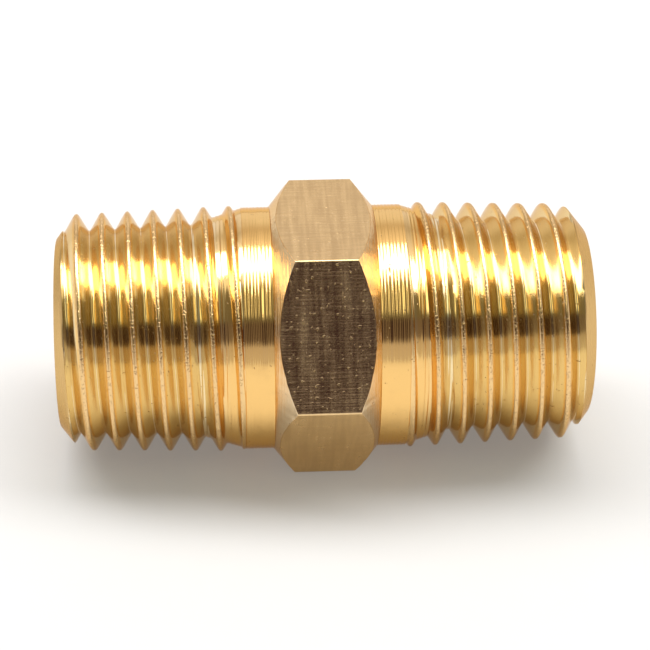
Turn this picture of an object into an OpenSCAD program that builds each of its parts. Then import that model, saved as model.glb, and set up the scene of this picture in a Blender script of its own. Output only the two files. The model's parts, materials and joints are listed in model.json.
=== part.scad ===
// Hex nipple for 1/4 inch pipe: a male taper thread at each end and a hexagon between them.
// Millimetres. The bore runs along X, the origin is its middle, and a flat of the hexagon is down.

/* [Hexagon] */
// Distance across the flats
across_flats = 14.29; // [13.9:0.01:16]
// Length between the feet of the two cones
hex_length = 5.76; // [4.6:0.02:12]
// Slope of the cones, measured from the plane across the bore
hex_cone_angle = 39; // [10:1:45]

/* [Threaded ends] */
// Length of each end, from its end face to the foot of the cone
end_length = 11.82; // [11.4:0.02:20]
// Threads in one inch
threads_per_inch = 18; // [16:1:20]
// Diameter over the thread's crests at the end face
end_diameter = 13.15; // [12.9:0.01:13.25]
// Growth of the diameter for each millimetre of length
taper = 0.0625; // [0.05:0.0005:0.065]
// Flat on the thread's crest, as a part of the pitch
crest_flat = 0.16; // [0.06:0.01:0.2]
// Flat at the thread's root, as a part of the pitch
root_flat = 0.07; // [0.04:0.01:0.14]
// Length over which the last grooves grow shallow
washout_length = 2.8; // [1.5:0.1:5]
// Slope of the lead-in chamfer, measured from the end face
lead_angle = 38; // [25:1:50]
// Diameter of the flat end face
face_diameter = 10.5; // [9:0.1:10.8]
// Angle at which the left thread starts
left_start = 137; // [0:1:359]
// Angle at which the right thread starts
right_start = 154; // [0:1:359]

/* [Neck] */
// Diameter of the plain neck between the thread and the hexagon
neck_diameter = 13.54; // [13.4:0.01:13.7]
// Length of the plain neck
neck_length = 1.56; // [0.8:0.02:2.4]

/* [Bore] */
// Diameter of the bore
bore_diameter = 7.14; // [5:0.01:8]
// Width of the chamfer at each mouth of the bore
mouth_chamfer = 0.35; // [0.1:0.05:0.5]

/* [Smoothness] */
// Columns of facets round each thread
thread_columns = 48; // [24:8:64]

/* [Hidden] */

turned_brass = [0.80, 0.62, 0.31];
drawn_brass = [0.74, 0.56, 0.27];
flank_angle = 30;
mm_per_inch = 25.4;
cut_margin = 1;        // how far a cutter runs past the face that it leaves
seat_step = 0.04;      // step from the thread's last ring up to the neck, on the radius
relief_slope = 0.5;    // how steeply the last crests fall to the neck

overall_length = hex_length + 2 * end_length;
corner_r = across_flats / 2 / cos(30);
neck_r = neck_diameter / 2;
bore_r = bore_diameter / 2;
pitch = mm_per_inch / threads_per_inch;
thread_length = end_length - neck_length;
thread_depth = pitch * (1 - crest_flat - root_flat) / 2 / tan(flank_angle);
washout_start = thread_length - washout_length;
last_ring_r = neck_r - seat_step;

// Rows of points in one pitch, as parts of it, counted from the middle of the crest
pitch_rows = [crest_flat / 2, 0.25, 0.5 - root_flat / 2, 0.5 + root_flat / 2, 0.75, 1 - crest_flat / 2];
rows_in_pitch = len(pitch_rows);
turns_before = 3;      // turns laid out ahead of the end face, and gathered on its ring
row_count = rows_in_pitch * (turns_before + ceil(thread_length / pitch) + 1);

// Radius over the crests: the taper, cut by the lead-in chamfer and the relief before the neck
function crest_radius(z) = min(
    end_diameter / 2 + z * taper / 2,
    face_diameter / 2 + z / tan(lead_angle),
    last_ring_r + (thread_length - z) * relief_slope
);

// Radius at the bottom of a full groove
function root_radius(z) = end_diameter / 2 + z * taper / 2 - thread_depth;

// Radius of the cone on which the last grooves run out
function washout_radius(z) = last_ring_r
    - (thread_length - z) * (last_ring_r - root_radius(washout_start)) / washout_length;

// Radius of the V thread before it is chamfered, at a given part of a pitch from the crest's middle
function groove_radius(z, from_crest) = root_radius(z) + thread_depth
    - min(max(from_crest - crest_flat / 2, 0) * pitch / tan(flank_angle), thread_depth);

// Distance from the end face of row k in the column at this angle: each row follows the helix
function row_z(angle, k) = pitch * (
    floor(k / rows_in_pitch) - turns_before + pitch_rows[k % rows_in_pitch] + angle / 360
);

// Point of the thread on row k, where helix_angle also counts the angle at which the thread starts
function thread_point(angle, helix_angle, k) = let (
    z = min(max(row_z(helix_angle, k), 0), thread_length),
    part = z / pitch - helix_angle / 360,
    from_crest = abs(part - round(part)),
    r = min(crest_radius(z), max(groove_radius(z, from_crest), washout_radius(z)))
) [r * cos(angle), r * sin(angle), z];

// Solid thread on Z with its end face at 0. Rows past an end are gathered on that end's ring.
module thread_body(start) {
    step = 360 / thread_columns;
    columns = [for (j = [0:thread_columns - 1]) j];
    rows = [for (k = [0:row_count - 1]) k];
    first = [for (j = columns) max([for (k = rows) if (row_z(j * step + start, k) <= 0) k])];
    last = [for (j = columns) min([for (k = rows) if (row_z(j * step + start, k) >= thread_length) k])];

    // Index of a point: a full turn round the thread leads to the same row one pitch further on
    function index(j, k) = let (
        column = j % thread_columns,
        row = j < thread_columns ? k : k + rows_in_pitch
    ) column * row_count + min(max(row, first[column]), last[column]);

    points = [for (j = columns, k = rows) thread_point(j * step, j * step + start, k)];
    upper = [for (j = columns, k = [0:row_count - 2]) if (index(j, k) != index(j, k + 1))
        [index(j, k), index(j, k + 1), index(j + 1, k + 1)]];
    lower = [for (j = columns, k = [0:row_count - 2]) if (index(j + 1, k) != index(j + 1, k + 1))
        [index(j, k), index(j + 1, k + 1), index(j + 1, k)]];
    end_face = [for (j = columns) index(j, 0)];
    neck_face = [for (j = columns) index(thread_columns - 1 - j, row_count - 1)];
    polyhedron(points, concat(upper, lower, [end_face, neck_face]), convexity = 10);
}

// One end of the nipple on Z, from its end face at 0 to the foot of the hexagon's cone
module threaded_end(start) {
    difference() {
        union() {
            thread_body(start);
            translate([0, 0, thread_length]) cylinder(h = neck_length, r = neck_r, $fn = 96);
        }
        translate([0, 0, -cut_margin])
            cylinder(h = end_length + 2 * cut_margin, r = bore_r, $fn = 96);
        translate([0, 0, -cut_margin]) cylinder(
            h = mouth_chamfer + cut_margin,
            r1 = bore_r + mouth_chamfer + cut_margin,
            r2 = bore_r,
            $fn = 96
        );
    }
}

// Outline of the turned blank that rounds off the hexagon's corners, for one half of its length
module corner_blank() {
    reach = corner_r - neck_r + cut_margin;
    cone_length = reach * tan(hex_cone_angle);
    rotate_extrude($fn = 96) polygon([
        [0, -hex_length / 2],
        [neck_r, -hex_length / 2],
        [neck_r + reach, -hex_length / 2 + cone_length],
        [neck_r + reach, hex_length / 2 - cone_length],
        [neck_r, hex_length / 2],
        [0, hex_length / 2]
    ]);
}

module hex_section() {
    color(drawn_brass) rotate([0, 90, 0]) difference() {
        intersection() {
            rotate([0, 0, 30]) cylinder(h = hex_length, r = corner_r, center = true, $fn = 6);
            corner_blank();
        }
        cylinder(h = hex_length + 2 * cut_margin, r = bore_r, center = true, $fn = 96);
    }
}

module left_threaded_end() {
    color(turned_brass) translate([-overall_length / 2, 0, 0]) rotate([0, 90, 0]) threaded_end(left_start);
}

module right_threaded_end() {
    color(turned_brass) translate([overall_length / 2, 0, 0]) rotate([0, -90, 0]) threaded_end(right_start);
}

hex_section();
left_threaded_end();
right_threaded_end();
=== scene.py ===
# Looks of a brass hex nipple: three machined sections, their brass, and a small bright studio.
import json
import math
import bpy
import numpy as np
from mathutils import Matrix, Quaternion, Vector


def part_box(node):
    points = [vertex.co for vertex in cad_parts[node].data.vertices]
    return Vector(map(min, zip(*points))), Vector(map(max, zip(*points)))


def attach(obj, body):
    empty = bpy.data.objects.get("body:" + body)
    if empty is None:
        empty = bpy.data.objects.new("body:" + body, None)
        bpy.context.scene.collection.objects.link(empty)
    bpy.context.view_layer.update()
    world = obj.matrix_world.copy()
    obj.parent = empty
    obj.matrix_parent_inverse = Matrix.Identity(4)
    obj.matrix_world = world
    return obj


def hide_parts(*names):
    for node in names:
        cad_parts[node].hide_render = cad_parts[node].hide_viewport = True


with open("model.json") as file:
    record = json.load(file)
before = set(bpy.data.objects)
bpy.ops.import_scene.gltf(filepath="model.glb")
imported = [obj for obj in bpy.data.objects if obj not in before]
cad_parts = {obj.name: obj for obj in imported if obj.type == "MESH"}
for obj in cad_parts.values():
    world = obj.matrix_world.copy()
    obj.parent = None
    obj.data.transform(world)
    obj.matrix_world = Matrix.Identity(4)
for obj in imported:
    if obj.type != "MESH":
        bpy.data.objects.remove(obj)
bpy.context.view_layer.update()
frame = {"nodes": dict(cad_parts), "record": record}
print("frame loaded:", ", ".join(sorted(frame["nodes"])))

mm = 0.001
sharpAngle = math.radians(50)  # a sharper edge than this isn't shaded smooth
leftLow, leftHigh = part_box("left_threaded_end")
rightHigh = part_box("right_threaded_end")[1]
hexLow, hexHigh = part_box("hex_section")
boreMount = next(mount for mount in frame["record"]["mounts"] if mount["name"] == "bore")
endLength = leftHigh.x - leftLow.x  # end face to the hexagon
overallLength = rightHigh.x - leftLow.x
hexLength = hexHigh.x - hexLow.x  # foot of one cone to foot of the other
acrossFlats = hexHigh.z - hexLow.z
boreRadius = boreMount["dims"]["r_mm"] * mm
restHeight = hexLow.z  # the lower flat lies on the table


# The smaller of two heights, with the corner between them rounded over a band of the given width:
# the plain minimum, less a quarter of the band times the squared share of the band left between them.
def softMin(a, b, band):
    share = np.maximum(band - np.abs(a - b), 0) / band
    return np.minimum(a, b) - share * share * band / 4


# The larger of two heights, rounded the same way: the soft minimum of both turned upside down.
def softMax(a, b, band):
    return -softMin(-a, -b, band)


# A smooth irregular line: knots at whole numbers joined by cosine steps, (1 - cos(pi t)) / 2.
def wander(position, knots):
    low = np.floor(position).astype(int)
    step = (1 - np.cos((position - low) * np.pi)) / 2
    return knots[low % len(knots)] * (1 - step) + knots[(low + 1) % len(knots)] * step


# A smooth irregular surface: the same cosine steps both ways between a table of knots.
def wanderTwo(across, along, knots):
    a = np.floor(across).astype(int)
    b = np.floor(along).astype(int)
    u = (1 - np.cos((across - a) * np.pi)) / 2
    v = (1 - np.cos((along - b) * np.pi)) / 2
    rows, columns = knots.shape
    low = knots[a % rows, b % columns] * (1 - v) + knots[a % rows, (b + 1) % columns] * v
    high = knots[(a + 1) % rows, b % columns] * (1 - v) + knots[(a + 1) % rows, (b + 1) % columns] * v
    return low * (1 - u) + high * u


# Sum of the signed tetrahedra from the origin to every triangle, a . (b x c) / 6.
def enclosedVolume(points, whole, triangles):
    every = np.concatenate([whole[:, [0, 1, 2]], whole[:, [0, 2, 3]], triangles])
    a, b, c = points[every[:, 0]], points[every[:, 1]], points[every[:, 2]]
    return np.einsum("ij,ij->i", a, np.cross(b, c)).sum() / 6


# Skins a table of point numbers, rows by columns. Neighbours make a four-sided face, a face whose
# points have run together becomes a triangle or nothing, and unused points are dropped.
def skin(name, points, ids):
    quads = np.stack([ids[:-1, :-1], ids[:-1, 1:], ids[1:, 1:], ids[1:, :-1]], axis=-1).reshape(-1, 4)
    joined = quads == np.roll(quads, -1, axis=1)
    whole = quads[~joined.any(axis=1)]
    corner = joined.sum(axis=1) == 1
    triangles = quads[corner][~joined[corner]].reshape(-1, 3)
    used = np.unique(np.concatenate([whole.ravel(), triangles.ravel()]))
    place = np.zeros(used.max() + 1, dtype=int)
    place[used] = np.arange(len(used))
    points, whole, triangles = points[used], place[whole], place[triangles]
    if enclosedVolume(points, whole, triangles) < 0:
        whole = whole[:, ::-1]
        triangles = triangles[:, ::-1]
    mesh = bpy.data.meshes.new(name)
    mesh.from_pydata(points.tolist(), [], whole.tolist() + triangles.tolist())
    mesh.shade_smooth()
    mesh.set_sharp_from_angle(angle=sharpAngle)
    mesh.update()
    piece = bpy.data.objects.new(name, mesh)
    bpy.context.scene.collection.objects.link(piece)
    print("skinned", name, "with", len(whole) * 2 + len(triangles), "triangles")
    return piece


# Points on circles round the X axis, (x, r cos a, r sin a).
def roundX(x, radius, angle):
    return np.stack([x, radius * np.cos(angle), radius * np.sin(angle)], axis=-1).reshape(-1, 3)


thread = {
    "pitch": 25.4 / 18 * mm,
    "radiusAtFace": 6.575 * mm,  # over the crests
    "taper": 1 / 32,  # growth of the radius along the length
    "depth": 0.941 * mm,
    "crestFlat": 0.020 * mm,  # half the plain width on top
    "crestRound": 0.110 * mm,  # shoulders of the crest
    "flankSlope": 1 / math.tan(math.radians(29)),
    "neckRadius": 6.77 * mm,
    "neckLength": 1.56 * mm,
    "washoutLength": 2.8 * mm,  # the last grooves grow shallow over this
    "washoutLines": 1.2,  # the tool lines reach this many such lengths from the neck
    "neckStep": 0.03 * mm,
    "reliefSlope": 0.5,
    "faceRadius": 5.25 * mm,
    "leadSlope": 1 / math.tan(math.radians(38)),  # chamfer at the end face
    "mouthChamfer": 0.35 * mm,
    "faceEdge": 0.05 * mm,  # rounding of the end face's rims
    "edgeRound": 0.05 * mm,  # where washout, relief and lead-in cut the thread
    "columns": 288,
    "rowsPerPitch": 32,
    "plainDensity": 0.45,  # of rows along the flanks; the edges of crest and root add 1 at most
    "edgeReach": 0.05,  # how far from those edges the rows crowd, as a part of the pitch
    "turnsBefore": 3,  # turns of rows laid out before the end face
    "chipDepth": 0.04 * mm,  # torn places on the crests
    "chipSpread": 0.45,
    "chipFloor": 0.35,  # taken off that spread, so that most of the crest stays whole
    "chipRound": 0.02 * mm,
    "chipsPerTurn": 90,
    "tearFloor": 0.3,  # evenness of the worst tears
    "tearsPerTurn": 260,
    "waveDepth": 0.008 * mm,  # slow unevenness of crests and flanks
    "wavesPerTurn": 17,
    "lean": 0.010 * mm,  # the same sideways
    "leansPerTurn": 11,
    "leanStart": 0.37,
    "toolFeed": 0.19 * mm,  # spacing of the tool lines on the neck
    "toolDepth": 0.013 * mm,
    "toolFaintest": 0.55,  # as a part of that depth
    "toolShake": 0.05,  # sideways, as parts of the feed
    "toolDrift": 0.16,
    "shakesPerTurn": 24,
    "toolFade": 0.12 * mm,  # the lines die away over this beside the hexagon
    "rowsPerToolLine": 8,
}


# Where the rows lie in one pitch, as parts of it from the middle of the crest: close together where
# the flanks meet the crest and the root, by inverting a running sum of the rows' density.
def rowParts():
    crestEdge = (thread["crestFlat"] + thread["crestRound"]) / thread["pitch"]
    rootEdge = crestEdge + thread["depth"] / thread["flankSlope"] / thread["pitch"]
    fine = np.linspace(0, 1, 2001)
    density = np.full_like(fine, thread["plainDensity"])
    for corner in (crestEdge, rootEdge, 1 - rootEdge, 1 - crestEdge):
        density = density + np.exp(-(((fine - corner) / thread["edgeReach"]) ** 2))
    running = np.concatenate([[0], np.cumsum(density[:-1])])
    wanted = np.arange(thread["rowsPerPitch"]) / thread["rowsPerPitch"]
    return np.interp(wanted, running / running[-1], fine)


# Fine tool lines round a turned surface, depth (cos(2 pi x / feed) - 1), whose depth and place drift.
def toolLines(x, angle, seed):
    dice = np.random.default_rng(seed + 5)
    feeds = x / thread["toolFeed"]
    shakes = thread["shakesPerTurn"]
    strength = wander(feeds * 1.7, dice.uniform(thread["toolFaintest"], 1, 61))
    shake = thread["toolShake"] * wander(angle / (2 * np.pi) * shakes, dice.uniform(-1, 1, shakes))
    drift = thread["toolDrift"] * wander(feeds * 0.6, dice.uniform(-1, 1, 37))
    return thread["toolDepth"] * strength * (np.cos((feeds + shake + drift) * 2 * np.pi) - 1)


# Radius of the threaded length at a distance x from the end face: a tapered V profile that repeats
# each pitch and climbs one pitch a turn, crest - slope (sqrt(u^2 + r^2) - r) at u beyond the crest's
# plain top, filled by slope (sqrt(v^2 + q^2) - v) at v from the root's middle, never below the washout
# cone, and never above the lead-in cone or the relief. The numbers of knots are primes, so that no two
# marks repeat together.
def threadRadius(x, angle, startTurn, seed, scars):
    turn = angle / (2 * np.pi) + startTurn
    part = x / thread["pitch"] - turn
    crest = np.round(part)
    along = crest + turn  # turns along the helix, for what varies along it
    dice = np.random.default_rng(seed)
    chips = np.clip(dice.normal(0, thread["chipSpread"], 997) - thread["chipFloor"], 0, 1)
    waves = thread["waveDepth"] * wander(along * thread["wavesPerTurn"], dice.uniform(-1, 1, 991))
    leanPlace = along * thread["leansPerTurn"] + thread["leanStart"]
    lean = thread["lean"] * wander(leanPlace, dice.uniform(-1, 1, 983))

    fullRadius = thread["radiusAtFace"] + x * thread["taper"]
    fromCrest = np.abs((part - crest) * thread["pitch"] + lean)
    beyond = np.maximum(fromCrest - thread["crestFlat"], 0)
    drop = thread["flankSlope"] * (np.hypot(beyond, thread["crestRound"]) - thread["crestRound"])
    chipped = wander(along * thread["chipsPerTurn"], chips) * thread["chipDepth"]
    for place, reach, depth in scars:
        torn = np.clip(1 - ((along - place) / reach) ** 2, 0, 1)
        ragged = thread["tearFloor"] + wander(along * thread["tearsPerTurn"], dice.uniform(0, 1, 613))
        chipped = chipped + torn * depth * ragged
    profile = softMin(fullRadius - chipped, fullRadius - drop, thread["chipRound"])
    profile = profile + waves - thread["waveDepth"]
    fromRoot = thread["pitch"] / 2 - fromCrest
    flankWidth = thread["depth"] / thread["flankSlope"]
    rootRound = thread["pitch"] / 2 - thread["crestFlat"] - thread["crestRound"] - flankWidth
    profile = profile + thread["flankSlope"] * (np.hypot(fromRoot, rootRound) - fromRoot)

    threadLength = endLength - thread["neckLength"]
    lastRadius = thread["neckRadius"] - thread["neckStep"]
    washoutStart = threadLength - thread["washoutLength"]
    rootThere = thread["radiusAtFace"] + washoutStart * thread["taper"] - thread["depth"]
    fall = (threadLength - x) / thread["washoutLength"]
    lines = toolLines(x, angle, seed) * (fall < thread["washoutLines"])
    washout = lastRadius - fall * (lastRadius - rootThere) + lines
    profile = softMax(profile, washout, thread["edgeRound"])
    relief = lastRadius + (threadLength - x) * thread["reliefSlope"]
    profile = softMin(profile, relief, thread["edgeRound"])
    lead = thread["faceRadius"] + x * thread["leadSlope"]
    return softMin(profile, lead, thread["edgeRound"])


# One end of the nipple as one closed skin, laid out on X from its end face at 0. Straight rings run
# along the bore, over the mouth and across the end face, helical rows carry the thread, and straight
# rings carry the neck. Helical rows that pass an end of the thread are gathered on that end's ring.
def threadedEnd(name, startTurn, seed, scars, dents):
    columns = thread["columns"]
    angles = np.arange(columns) * 2 * np.pi / columns
    threadLength = endLength - thread["neckLength"]
    edge = thread["faceEdge"]
    mouth = thread["mouthChamfer"]
    face = thread["faceRadius"]

    mouthRadius = boreRadius + mouth
    frontX = np.array([endLength, endLength * 0.6, endLength * 0.3, mouth + edge, mouth,
                       mouth - edge / 2, edge / 2, 0, 0, 0, 0, 0])
    frontR = np.array([boreRadius, boreRadius, boreRadius, boreRadius, boreRadius + edge * 0.2,
                       boreRadius + edge / 2, mouthRadius - edge / 2, mouthRadius + edge / 2,
                       mouthRadius + edge, (mouthRadius + face) / 2, face - edge * 2, face - edge])

    perPitch = thread["rowsPerPitch"]
    turns = thread["turnsBefore"] + math.ceil(threadLength / thread["pitch"]) + 1
    parts = (np.arange(turns)[:, None] - thread["turnsBefore"] + rowParts()[None, :]).ravel()
    rowX = thread["pitch"] * (parts[:, None] + angles[None, :] / (2 * np.pi) + startTurn)
    lowX = edge * 0.35  # the thread's first ring, on the rounded rim
    first = (rowX <= lowX).sum(axis=0) - 1
    last = len(parts) - (rowX >= threadLength).sum(axis=0)
    rowX = np.clip(rowX, lowX, threadLength)
    threadR = threadRadius(rowX, angles[None, :], startTurn, seed, scars)

    neckRows = round(thread["neckLength"] / thread["toolFeed"] * thread["rowsPerToolLine"])
    ringGap = 0.01 * mm  # from the thread's last ring to the neck's first
    neckX = np.linspace(threadLength + ringGap, endLength, neckRows)
    neckGrid = np.repeat(neckX[:, None], columns, axis=1)
    fade = np.clip((endLength - neckGrid) / thread["toolFade"], 0, 1)
    neckR = thread["neckRadius"] + fade * toolLines(neckGrid, angles[None, :], seed)
    for fromFace, degrees, size, depth in dents:
        away = np.hypot(neckGrid - fromFace, (angles - math.radians(degrees)) * thread["neckRadius"])
        neckR = neckR - depth * np.exp(-((away / size) ** 2))

    x = np.concatenate([np.repeat(frontX[:, None], columns, axis=1), rowX, neckGrid])
    radius = np.concatenate([np.repeat(frontR[:, None], columns, axis=1), threadR, neckR])
    points = roundX(x, radius, np.broadcast_to(angles, x.shape))

    rows = np.arange(len(x))[:, None]
    columnIds = np.arange(columns + 1)[None, :] % columns
    frontCount = len(frontX)
    isThread = (rows >= frontCount) & (rows < frontCount + len(parts))
    turnedOn = np.where(np.arange(columns + 1) == columns, perPitch, 0)[None, :]  # one turn further on
    threadRow = np.clip(rows - frontCount + turnedOn, first[columnIds], last[columnIds]) + frontCount
    ids = np.where(isThread, threadRow, rows) * columns + columnIds
    return skin(name, points, np.concatenate([ids, ids[:1]]))


hexagon = {
    "cornerRound": 0.08 * mm,  # worn long edges
    "arcRound": 0.010 * mm,  # taken off the arcs where the cones meet the flats
    "coneSlope": math.tan(math.radians(39)),
    "columnsPerFlat": 90,
    "columnCrowding": 1.5,  # a power, above 1 where columns stand closer towards the corners
    "coneRows": 14,
    "coneCrowding": 1.8,  # the same for a cone's rows towards its arcs
    "flatRows": 52,
    "boreRows": 7,
    "dish": 0.012 * mm,  # flats of drawn bar are a little hollow
    "seed": 7,
    "edgeWear": 0.018 * mm,  # along the arcs
    "wearKnots": 160,
    "wearSpread": 0.7,
    "wearLimits": (-0.3, 1.6),
    "flatWave": 0.0012 * mm,  # unevenness the bar was drawn with
    "waveLength": 0.32 * mm,
    "wavesRound": 50,
    "flatTolerance": 0.02 * mm,  # a face further inside the outline than this is turned
}


# Distance from the axis to the hexagon's outline: half the width across the flats, less the flat's
# hollow, over the cosine of the angle from the middle of the nearest flat, with the next flat's line
# blended in at the corner.
def hexRadius(angle):
    away = np.abs((angle + np.pi / 6) % (np.pi / 3) - np.pi / 6)
    dish = hexagon["dish"] * (1 - (away / (np.pi / 6)) ** 2)
    near = (acrossFlats / 2 - dish) / np.cos(away)
    beyond = (acrossFlats / 2) / np.cos(np.pi / 3 - away)
    return softMin(near, beyond, hexagon["cornerRound"])


# How far from the middle the cone of one side cuts the outline, half - (outline - neck) slope, with
# a little wear that differs round the rim.
def coneCrossing(angle, outline, knots):
    worn = hexagon["edgeWear"] * wander(angle / (2 * np.pi) * len(knots), knots)
    return hexLength / 2 - (outline - thread["neckRadius"]) * hexagon["coneSlope"] - worn


# The hexagon as one closed skin. Each column finds where the cones cross its flat, and the rows are
# shared out between the foot of a cone, that crossing and its twin, so the arcs come out crisp.
def hexSection(name):
    half = hexLength / 2
    neck = thread["neckRadius"]
    dice = np.random.default_rng(hexagon["seed"])
    perFlat = hexagon["columnsPerFlat"]
    spread = np.linspace(-1, 1, perFlat + 1)[:-1]
    away = np.sign(spread) * (1 - (1 - np.abs(spread)) ** hexagon["columnCrowding"]) * np.pi / 6
    angles = (np.pi / 2 + np.arange(6)[:, None] * np.pi / 3 + away[None, :]).ravel()
    outline = hexRadius(angles - np.pi / 2)
    toCrossing = 1 - (1 - np.linspace(0, 1, hexagon["coneRows"])) ** hexagon["coneCrowding"]
    sides = []
    for _ in range(2):
        knots = np.clip(dice.normal(0, hexagon["wearSpread"], hexagon["wearKnots"]), *hexagon["wearLimits"])
        crossing = coneCrossing(angles, outline, knots)
        coneX = half - (half - crossing)[None, :] * toCrossing[:, None]
        coneR = neck + (outline - neck)[None, :] * toCrossing[:, None]
        sides.append((crossing, coneX, coneR))
    across = np.sin(np.linspace(1, -1, hexagon["flatRows"])[1:-1] * np.pi / 2)[:, None]
    (rightCut, rightX, rightR), (leftCut, leftX, leftR) = sides
    flatX = (rightCut - leftCut) / 2 + across * (rightCut + leftCut) / 2
    wavesRound = hexagon["wavesRound"]
    waves = hexagon["flatWave"] * wanderTwo(
        flatX / hexagon["waveLength"], angles[None, :] / (2 * np.pi) * wavesRound,
        dice.uniform(-2, 0, (37, wavesRound)))
    flatR = np.broadcast_to(outline, flatX.shape) + waves
    x = np.concatenate([rightX, flatX, -leftX[::-1]])
    radius = np.concatenate([rightR, flatR, leftR[::-1]])
    cutRow = hexagon["coneRows"] - 1
    lastRow = len(x) - 1 - cutRow
    radius[[cutRow, lastRow]] -= hexagon["arcRound"]
    boreX = np.linspace(-half, half, hexagon["boreRows"])[:, None] * np.ones_like(angles)[None, :]
    x = np.concatenate([x, boreX])
    radius = np.concatenate([radius, np.full_like(boreX, boreRadius)])
    points = roundX(x, radius, np.broadcast_to(angles, x.shape))
    ids = np.arange(x.size).reshape(x.shape)
    ids = np.concatenate([ids, ids[:, :1]], axis=1)
    return skin(name, points, np.concatenate([ids, ids[:1]]))


# Wraps a number socket, so that sums, products and the like are written as Python expressions.
class Wire:
    def __init__(self, sketch, socket):
        self.sketch = sketch
        self.socket = socket

    # Another output of the same node.
    def also(self, name):
        return Wire(self.sketch, self.socket.node.outputs[name])

    def join(self, operation, first, second=0.0):
        return self.sketch.node("ShaderNodeMath", {"operation": operation}, {0: first, 1: second})

    def __add__(self, other):
        return self.join("ADD", self, other)

    def __radd__(self, other):
        return self.join("ADD", other, self)

    def __sub__(self, other):
        return self.join("SUBTRACT", self, other)

    def __rsub__(self, other):
        return self.join("SUBTRACT", other, self)

    def __mul__(self, other):
        return self.join("MULTIPLY", self, other)

    def __rmul__(self, other):
        return self.join("MULTIPLY", other, self)

    def __truediv__(self, other):
        return self.join("DIVIDE", self, other)

    def __rtruediv__(self, other):
        return self.join("DIVIDE", other, self)

    def __pow__(self, other):
        return self.join("POWER", self, other)

    def __rpow__(self, other):
        return self.join("POWER", other, self)

    def __abs__(self):
        return self.join("ABSOLUTE", self)


# A node tree, with one method that adds any node.
class Sketch:
    def __init__(self, owner):
        owner.use_nodes = True
        self.owner = owner
        self.tree = owner.node_tree
        self.tree.nodes.clear()

    # Adds a node of a type, makes its settings, then gives its input sockets values or links.
    def node(self, kind, settings, inputs, output=0):
        made = self.tree.nodes.new(kind)
        for key, value in settings.items():
            if key == "stops":
                setStops(made.color_ramp, value)
            else:
                setattr(made, key, value)
        for key, value in inputs.items():
            if isinstance(value, Wire):
                self.tree.links.new(value.socket, made.inputs[key])
            else:
                made.inputs[key].default_value = value
        return Wire(self, made.outputs[output]) if made.outputs else made


# Gives a colour ramp its stops, each a position and a colour.
def setStops(ramp, stops):
    ramp.elements.remove(ramp.elements[-1])
    for index, (position, colour) in enumerate(stops):
        element = ramp.elements[0] if index == 0 else ramp.elements.new(position)
        element.position = position
        element.color = (*colour, 1)


# Noise from 0 to 1 on Object coordinates, with its own number of grains per metre on each axis.
def grain(sketch, perMetre, detail, roughness, shift=0.0, turn=(0, 0, 0)):
    place = sketch.node("ShaderNodeTexCoord", {}, {}, output="Object")
    moved = sketch.node("ShaderNodeMapping", {},
                        {"Vector": place, "Location": (shift, shift, shift), "Rotation": turn,
                         "Scale": perMetre})
    return sketch.node("ShaderNodeTexNoise", {},
                       {"Vector": moved, "Scale": 1.0, "Detail": detail, "Roughness": roughness})


# 0 where a value is on the empty side, 1 on the full side, smooth between; either may be the larger.
def ease(sketch, value, empty, full):
    return sketch.node("ShaderNodeMapRange", {"interpolation_type": "SMOOTHSTEP"},
                       {"Value": value, "From Min": empty, "From Max": full})


# 0 outside a band and 1 inside it. Its four edges say where it starts, is full, is still full and ends.
def between(sketch, value, edges):
    return ease(sketch, value, edges[0], edges[1]) * ease(sketch, value, edges[3], edges[2])


# Blends two colours, each three numbers or a wire.
def blend(sketch, factor, first, second):
    first = first if isinstance(first, Wire) else (*first, 1)
    second = second if isinstance(second, Wire) else (*second, 1)
    return sketch.node("ShaderNodeMix", {"data_type": "RGBA"},
                       {"Factor": factor, 6: first, 7: second}, output=2)


# Closes a material: a metal with the given colour, roughness and bump height in millimetres.
def metal(sketch, colour, roughness, height):
    bump = sketch.node("ShaderNodeBump", {}, {"Height": height, "Strength": 1.0, "Distance": mm})
    shader = sketch.node("ShaderNodeBsdfPrincipled", {}, {
        "Base Color": colour, "Metallic": 1.0, "Roughness": roughness, "Normal": bump,
        "Specular Tint": (*brass["edgeTint"], 1)})
    sketch.node("ShaderNodeOutputMaterial", {}, {"Surface": shader})
    return sketch.owner


brass = {
    "neck": (0.92, 0.585, 0.215),
    # painted light: the cones' brass is paler than the neck's, so that light bouncing twice on them doesn't
    # turn deep yellow
    "cone": (0.92, 0.72, 0.46),
    "crest": (0.87, 0.60, 0.29),
    "endFace": (0.68, 0.46, 0.20),  # sawn and chamfered
    "groove": (0.895, 0.735, 0.44),  # painted light: paler than the neck's brass, so that light which bounces three times here stays bright
    "bore": (0.82, 0.57, 0.28),
    "drawn": (0.86, 0.61, 0.31),  # flats of the bar
    "stain": (0.26, 0.14, 0.06),
    "edgeTint": (0.78, 0.62, 0.45),  # seen at a glancing angle
    "neckRoughness": 0.12,
    "grooveRoughness": 0.13,
    "coneRoughness": 0.20,
    "crestRoughness": 0.17,
    "endRoughness": 0.26,
    "boreRoughness": 0.22,
    "neckLines": 0.0026,  # depth of the fine lines, in millimetres
    "coneLines": 0.014,
    "boreLines": 0.006,
    "drawnRoughness": 0.22,
}

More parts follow.
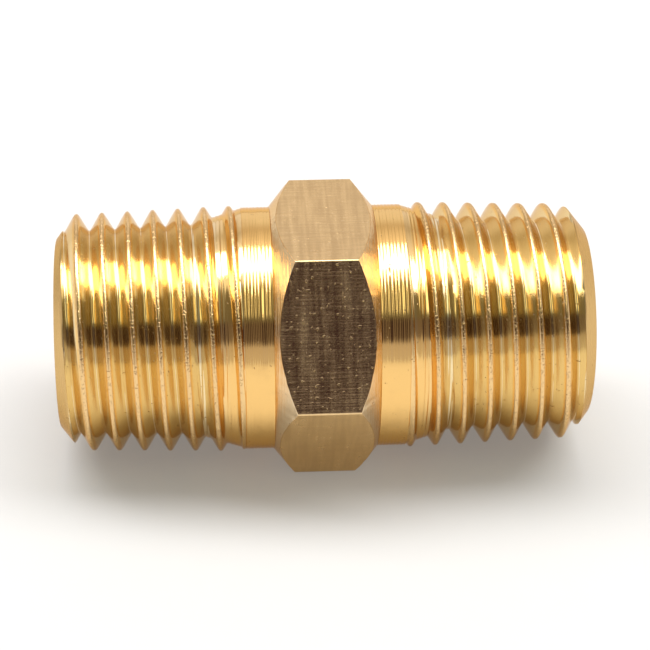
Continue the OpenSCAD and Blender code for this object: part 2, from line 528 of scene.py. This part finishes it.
turned = {
    # noises: grains per metre on each axis, detail, roughness, shift
    "lines": ((1 / (0.06 * mm), 150, 150), 3.0, 0.65),
    "ripple": ((1 / (0.35 * mm), 260, 260), 2.0, 0.5, 3.7),
    "clouds": ((420, 420, 420), 3.0, 0.6, 1.3),
    "pits": ((5200, 5200, 5200), 1.0, 0.5, 5.1),
    "speckle": ((9000, 9000, 9000), 1.0, 0.5, 9.4),
    # where each mask is empty and full, as parts of a noise
    "cloudRange": (0.55, 0.8),
    "pitRange": (0.72, 0.80),
    "speckleRange": (0.52, 0.72),
    # the same, as distances below the crests, below the lead-in cone, out from the bore, and from the neck
    "crestRange": (0.16 * mm, 0.05 * mm),
    "grooveRange": (0.10 * mm, 0.30 * mm),
    "faceRange": (0.07 * mm, 0.03 * mm),
    "boreRange": (0.12 * mm, 0.04 * mm),
    "threadRange": (0.0, 0.3 * mm),
    "fullGrooves": (0.7 * mm, 2.0 * mm),
    "reliefBand": (-0.02 * mm, 0.04 * mm, 0.25 * mm, 0.45 * mm),
    # how far each mark changes the colour, then the roughness
    "reliefShare": 0.35,
    "cloudStain": 0.15,
    "pitStain": 0.7,
    "speckleStain": 0.35,
    "lineRoughness": 0.14,
    "cloudRoughness": 0.10,
    "pitRoughness": 0.3,
    # millimetres
    "rippleHeight": 0.0022,
    "pitDepth": 0.004,
    "speckleDepth": 0.010,
}


# Turned brass: lines run round the axis, the grooves, crests, end faces and bore each have a finish of
# their own over the plain one, and stains and pits are sparse. The grooves' paler colour is painted light.
def turnedBrass(name, plain, plainRoughness, plainLines):
    sketch = Sketch(bpy.data.materials.new(name))
    x = sketch.node("ShaderNodeSeparateXYZ", {},
                    {"Vector": sketch.node("ShaderNodeTexCoord", {}, {}, output="Object")})
    y, z = x.also("Y"), x.also("Z")
    fromFace = overallLength / 2 - abs(x)
    radius = (y * y + z * z) ** 0.5
    belowCrest = fromFace * thread["taper"] + thread["radiusAtFace"] - radius
    belowLead = fromFace * thread["leadSlope"] + thread["faceRadius"] - radius
    fromNeck = endLength - thread["neckLength"] - fromFace
    inBore = ease(sketch, radius - boreRadius, *turned["boreRange"])
    onEnd = ease(sketch, belowLead, *turned["faceRange"])
    onCrest = ease(sketch, belowCrest, *turned["crestRange"])
    onCrest = onCrest * ease(sketch, fromNeck, *turned["threadRange"])
    inGroove = ease(sketch, belowCrest, *turned["grooveRange"])
    inGroove = inGroove * ease(sketch, fromNeck, *turned["fullGrooves"])
    inRelief = between(sketch, fromNeck, turned["reliefBand"])

    lines = grain(sketch, *turned["lines"])
    ripple = grain(sketch, *turned["ripple"])
    clouds = grain(sketch, *turned["clouds"])
    pit = ease(sketch, grain(sketch, *turned["pits"]), *turned["pitRange"])
    speckle = ease(sketch, grain(sketch, *turned["speckle"]), *turned["speckleRange"]) * onCrest

    # painted light: the grooves, and a share of the relief by the neck, take the paler groove brass so
    # their bounced light stays bright
    colour = blend(sketch, inGroove, plain, brass["groove"])
    colour = blend(sketch, inRelief * turned["reliefShare"], colour, brass["groove"])
    colour = blend(sketch, onCrest, colour, brass["crest"])
    colour = blend(sketch, onEnd, colour, brass["endFace"])
    colour = blend(sketch, inBore, colour, brass["bore"])
    cloudStain = ease(sketch, clouds, *turned["cloudRange"]) * turned["cloudStain"]
    colour = blend(sketch, cloudStain, colour, brass["stain"])
    markStain = pit * turned["pitStain"] + speckle * turned["speckleStain"]
    colour = blend(sketch, markStain, colour, brass["stain"])
    roughness = plainRoughness + inGroove * (brass["grooveRoughness"] - plainRoughness)
    roughness = roughness + onCrest * (brass["crestRoughness"] - plainRoughness)
    roughness = roughness + onEnd * (brass["endRoughness"] - plainRoughness)
    roughness = roughness + inBore * (brass["boreRoughness"] - plainRoughness)
    roughness = roughness + (lines - 0.5) * turned["lineRoughness"] + pit * turned["pitRoughness"]
    roughness = roughness + (clouds - 0.5) * turned["cloudRoughness"]
    lineDepth = plainLines + inBore * (brass["boreLines"] - plainLines)
    height = lines * lineDepth + ripple * turned["rippleHeight"]
    height = height - pit * turned["pitDepth"] - speckle * turned["speckleDepth"]
    return metal(sketch, colour, roughness, height)


drawn = {
    # noises: grains per metre on each axis, detail, roughness, shift and turn
    "streaks": ((1 / (0.30 * mm), 260, 260), 1.0, 0.5, 2.2),
    "finer": ((1 / (0.08 * mm), 500, 500), 2.0, 0.6, 7.7),
    "crossing": ((420, 1 / (0.11 * mm), 1 / (0.11 * mm)), 1.0, 0.5, 4.4),
    "clouds": ((700, 700, 700), 3.0, 0.6, 6.1),
    "specks": ((7500, 7500, 7500), 1.0, 0.5, 0.7),
    "dents": ((5200, 5200, 5200), 0.0, 0.5, 8.3),
    "scratches": ((5600, 800, 800), 0.0, 0.5, 3.3, (0.5, 0.6, 0.75)),
    # where each mask is empty and full
    "dentRange": (0.71, 0.82),
    "scratchRange": (0.77, 0.82),
    "weaveRange": (-0.35, 0.35),
    "weave": (1.5, 0.4, 0.7, 0.6),  # shares of streaks, finer, crossing and clouds
    "weaveStain": 0.14,
    "weaveRoughness": 0.12,
    "speckRoughness": 0.1,
    # millimetres
    "heights": (0.011, 0.0035, 0.0045, 0.0035),  # streaks, finer, crossing and specks
    "markDepth": 0.006,
}


# Drawn brass of the flats: satin, with crossed fine lines, small dents and a few scratches.
def drawnBrass():
    sketch = Sketch(bpy.data.materials.new("drawnBrass"))
    streaks = grain(sketch, *drawn["streaks"])
    finer = grain(sketch, *drawn["finer"])
    crossing = grain(sketch, *drawn["crossing"])
    clouds = grain(sketch, *drawn["clouds"])
    specks = grain(sketch, *drawn["specks"])
    dent = ease(sketch, grain(sketch, *drawn["dents"]), *drawn["dentRange"])
    scratch = ease(sketch, grain(sketch, *drawn["scratches"]), *drawn["scratchRange"])

    streakShare, finerShare, crossingShare, cloudShare = drawn["weave"]
    weave = (streaks - 0.5) * streakShare + (crossing - 0.5) * crossingShare
    weave = weave + (clouds - 0.5) * cloudShare + (finer - 0.5) * finerShare
    shade = ease(sketch, weave, *drawn["weaveRange"])
    colour = blend(sketch, shade * drawn["weaveStain"], brass["drawn"], brass["stain"])
    roughness = brass["drawnRoughness"] - weave * drawn["weaveRoughness"]
    roughness = roughness + (specks - 0.5) * drawn["speckRoughness"]
    streakHeight, finerHeight, crossingHeight, speckHeight = drawn["heights"]
    height = streaks * streakHeight + finer * finerHeight + crossing * crossingHeight
    height = height + specks * speckHeight - (dent + scratch) * drawn["markDepth"]
    return metal(sketch, colour, roughness, height)


# Each end: the part of a turn its thread starts at, a seed, torn places on the crests (turns along,
# reach, depth) and dents on the neck (from the end face, degrees round, size, depth).
leftEnd = {
    "name": "leftThreadedEnd",
    "side": -1,
    "start": 137 / 360,
    "seed": 11,
    "scars": [(5.28, 0.05, 0.05 * mm), (6.18, 0.04, 0.05 * mm), (3.3, 0.02, 0.03 * mm)],
    "dents": [(11.2 * mm, 262, 0.06 * mm, 0.02 * mm)],
}
rightEnd = {
    "name": "rightThreadedEnd",
    "side": 1,
    "start": 154 / 360,
    "seed": 29,
    "scars": [(0.80, 0.09, 0.05 * mm), (1.72, 0.04, 0.06 * mm), (5.9, 0.03, 0.05 * mm)],
    "dents": [(11.3 * mm, 330, 0.07 * mm, 0.03 * mm), (11.0 * mm, 333, 0.05 * mm, 0.02 * mm),
              (10.6 * mm, 336, 0.06 * mm, 0.03 * mm)],
}


# Moves a threaded end from its own layout into the frame. Its local angle counts from local Y to
# local Z, and in the frame it has to count from straight down (left) or straight up (right).
def placeEnd(piece, side):
    flat = np.empty(len(piece.data.vertices) * 3)
    piece.data.vertices.foreach_get("co", flat)
    local = flat.reshape(-1, 3)
    placed = np.stack([side * (overallLength / 2 - local[:, 0]), local[:, 2], side * local[:, 1]], axis=-1)
    piece.data.vertices.foreach_set("co", placed.ravel())
    piece.data.update()


# True for the hexagon's faces on its cones and in its bore, by where their centres lie.
def turnedFaces(piece):
    centres = np.empty(len(piece.data.polygons) * 3)
    piece.data.polygons.foreach_get("center", centres)
    centres = centres.reshape(-1, 3)
    outline = hexRadius(np.arctan2(centres[:, 2], centres[:, 1]) - np.pi / 2)
    radius = np.hypot(centres[:, 1], centres[:, 2])
    return radius < outline - hexagon["flatTolerance"]


turnedMaterial = turnedBrass("turnedBrass", brass["neck"], brass["neckRoughness"], brass["neckLines"])
# the cones take the paler cone brass, which is painted light
coneMaterial = turnedBrass("coneBrass", brass["cone"], brass["coneRoughness"], brass["coneLines"])
drawnMaterial = drawnBrass()
print("brass mixed")

for end, node in ((leftEnd, "left_threaded_end"), (rightEnd, "right_threaded_end")):
    piece = threadedEnd(end["name"], end["start"], end["seed"], end["scars"], end["dents"])
    placeEnd(piece, end["side"])
    piece.data.materials.append(turnedMaterial)
    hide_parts(node)
    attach(piece, "root")

hexBar = hexSection("hexSection")
hexBar.data.materials.append(drawnMaterial)
hexBar.data.materials.append(coneMaterial)
hexBar.data.polygons.foreach_set("material_index", turnedFaces(hexBar).astype(int))
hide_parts("hex_section")
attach(hexBar, "root")
print("pieces placed")

studio = {
    "tableSize": 3.0,
    "tableColour": (0.54, 0.54, 0.54),
    "fibres": ((900, 900, 900), 3.0, 0.6),  # grains per metre on each axis, detail, roughness
    "fibreShade": 0.98,  # their tone, as a part of the table's
    "tableRoughness": 0.9,
    "tableGlow": 0.16,
    # stops from the front horizon over the top to the back one, straight ahead and at the two sides
    "middle": [(0.0, (0.62, 0.60, 0.64)), (0.09, (0.58, 0.55, 0.60)), (0.105, (0.048, 0.028, 0.033)),
               (0.215, (0.034, 0.020, 0.024)), (0.25, (0.26, 0.26, 0.21)), (0.42, (0.42, 0.42, 0.33)),
               (0.46, (0.8, 0.75, 0.7)), (0.62, (1.4, 1.25, 1.2)), (0.70, (1.0, 0.93, 0.9)),
               (0.80, (0.69, 0.63, 0.59)), (0.87, (0.95, 0.96, 1.10)), (1.0, (1.08, 1.18, 1.60))],
    "sides": [(0.0, (0.66, 0.63, 0.60)), (0.09, (0.56, 0.52, 0.49)), (0.12, (0.20, 0.17, 0.16)),
              (0.215, (0.17, 0.14, 0.13)), (0.25, (0.17, 0.16, 0.12)), (0.42, (0.21, 0.19, 0.13)),
              (0.46, (1.2, 1.2, 1.1)), (0.62, (1.1, 1.02, 0.95)), (0.80, (0.60, 0.54, 0.46)),
              (1.0, (0.55, 0.50, 0.43))],
    "openingWidth": (0.18, 0.46),  # sideways, where the side walls start and are full
}
window = {
    "colour": (2.0, 2.0, 1.5),
    "across": (0.11, 0.22, 0.36, 0.48),  # to the right of the opening's middle: starts, full, full, ends
    "up": (0.24, 0.27, 0.39, 0.43),  # the same, as parts of the way from the front horizon to the back
}
softbox = {
    "size": (1.10, 0.27),
    "centre": (0.0, 0.090, 0.50),
    "turned": -16.0,  # right end nearer the front
    "watts": 4.5,
}


# The table top: a plain matt sheet that lies under the lower flat and glows a little.
def table():
    size = studio["tableSize"] / 2
    mesh = bpy.data.meshes.new("table")
    corners = [(-size, -size, restHeight), (size, -size, restHeight),
               (size, size, restHeight), (-size, size, restHeight)]
    mesh.from_pydata(corners, [], [(0, 1, 2, 3)])
    made = bpy.data.objects.new("table", mesh)
    bpy.context.scene.collection.objects.link(made)
    sketch = Sketch(bpy.data.materials.new("plainTable"))
    fibres = grain(sketch, *studio["fibres"])
    plain = studio["tableColour"]
    tone = blend(sketch, fibres, plain, tuple(studio["fibreShade"] * value for value in plain))
    shader = sketch.node("ShaderNodeBsdfPrincipled", {}, {
        "Base Color": tone, "Roughness": studio["tableRoughness"], "Specular IOR Level": 0.0,
        "Emission Color": (1, 1, 1, 1), "Emission Strength": studio["tableGlow"]})
    sketch.node("ShaderNodeOutputMaterial", {}, {"Surface": shader})
    mesh.materials.append(sketch.owner)


# The room as light: pale walls at the sides and behind, a dark opening in front between the table's
# edge and the lamp, and a window above it at the right. The ramps run from the front horizon over the
# top to the back one.
def room():
    world = bpy.data.worlds.new("room")
    bpy.context.scene.world = world
    sketch = Sketch(world)
    x = sketch.node("ShaderNodeSeparateXYZ", {},
                    {"Vector": sketch.node("ShaderNodeTexCoord", {}, {}, output="Generated")})
    elevation = x.join("ARCTAN2", x.also("Z"), x.also("Y") * -1) / math.pi
    middle = sketch.node("ShaderNodeValToRGB", {"stops": studio["middle"]}, {"Fac": elevation})
    sides = sketch.node("ShaderNodeValToRGB", {"stops": studio["sides"]}, {"Fac": elevation})
    colour = blend(sketch, ease(sketch, abs(x), *studio["openingWidth"]), middle, sides)
    pane = between(sketch, x, window["across"]) * between(sketch, elevation, window["up"])
    colour = blend(sketch, pane, colour, window["colour"])
    background = sketch.node("ShaderNodeBackground", {}, {"Color": colour, "Strength": 1.0})
    sketch.node("ShaderNodeOutputWorld", {}, {"Surface": background})


# The one lamp: a long softbox overhead, level, turned a little in plan.
def lamp():
    light = bpy.data.lights.new("softbox", "AREA")
    light.shape = "RECTANGLE"
    light.size, light.size_y = softbox["size"]
    light.energy = softbox["watts"]
    made = bpy.data.objects.new("softbox", light)
    bpy.context.scene.collection.objects.link(made)
    made.location = softbox["centre"]
    made.rotation_euler = (0, 0, math.radians(softbox["turned"]))


table()
room()
lamp()
print("studio lit")

view = {
    "distance": 137.0 * mm,
    "lens": 135.0,
    "sensor": 36.0,
    "clip": (0.005, 10.0),
    "elevation": 35.0,
    "yaw": 3.4,
    "roll": -0.55,
    "aim": (0.17 * mm, 0.05 * mm, 0.04 * mm),
}


# The camera: on a line from the aim point that rises by the elevation and swings aside by the yaw, and
# rolled a little about that line.
def camera():
    lens = bpy.data.cameras.new("camera")
    lens.lens = view["lens"]
    lens.sensor_width = view["sensor"]
    lens.clip_start, lens.clip_end = view["clip"]
    made = bpy.data.objects.new("camera", lens)
    bpy.context.scene.collection.objects.link(made)
    up, side = math.radians(view["elevation"]), math.radians(view["yaw"])
    away = Vector((-math.sin(side) * math.cos(up), -math.cos(side) * math.cos(up), math.sin(up)))
    made.location = Vector(view["aim"]) + away * view["distance"]
    made.rotation_mode = "QUATERNION"
    roll = Quaternion((0, 0, 1), math.radians(-view["roll"]))
    made.rotation_quaternion = away.to_track_quat("Z", "Y") @ roll
    bpy.context.scene.camera = made


camera()
bpy.context.scene.view_settings.view_transform = "Standard"
print("camera set")
